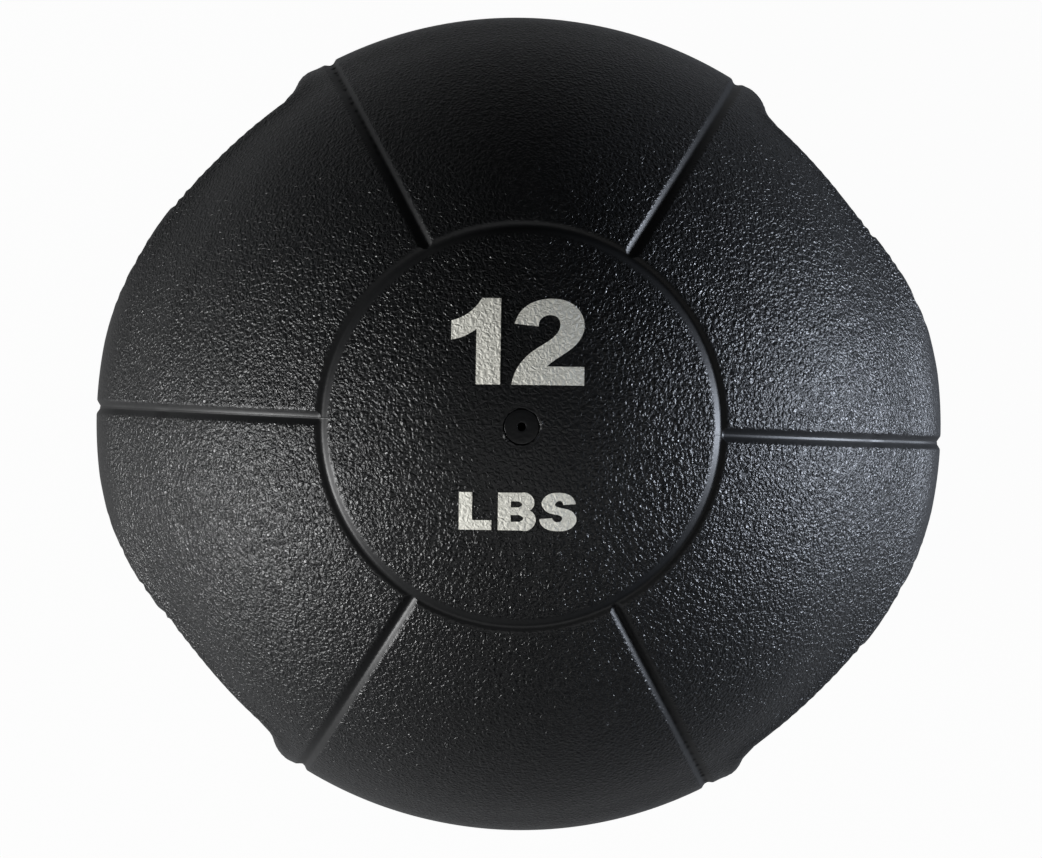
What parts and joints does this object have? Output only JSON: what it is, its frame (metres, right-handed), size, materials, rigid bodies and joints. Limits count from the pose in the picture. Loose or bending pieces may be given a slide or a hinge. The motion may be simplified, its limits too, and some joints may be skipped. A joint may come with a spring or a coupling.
{
  "type": "dual-grip medicine ball",
  "caption": "Weighted rubber medicine ball with a moulded hand grip on each side, a needle valve at the pole and a printed weight.",
  "frame": {"origin": "centre of the ball", "axes": "+X through the centres of the two handles, +Z out along the needle valve's axis, the mould's parting plane at y = 0"},
  "size_m": [0.282, 0.28, 0.28],
  "materials": {
    "cover_rubber": "pebble-grained matte",
    "weight_rubber": "matte",
    "bladder_rubber": "smooth",
    "valve_rubber": "smooth satin",
    "plug_rubber": "smooth",
    "core_nylon": "moulded",
    "print_ink": "matt ink"
  },
  "bodies": {
    "root": {"cover_front_half": "cover_rubber", "cover_rear_half": "cover_rubber", "weight_layer_front": "weight_rubber", "weight_layer_rear": "weight_rubber", "bladder": "bladder_rubber", "valve_housing": "valve_rubber", "valve_plug": "plug_rubber", "valve_patch": "bladder_rubber", "handle_core_right": "core_nylon", "handle_core_left": "core_nylon", "weight_digits": "print_ink", "weight_unit": "print_ink"}
  },
  "joints": []
}
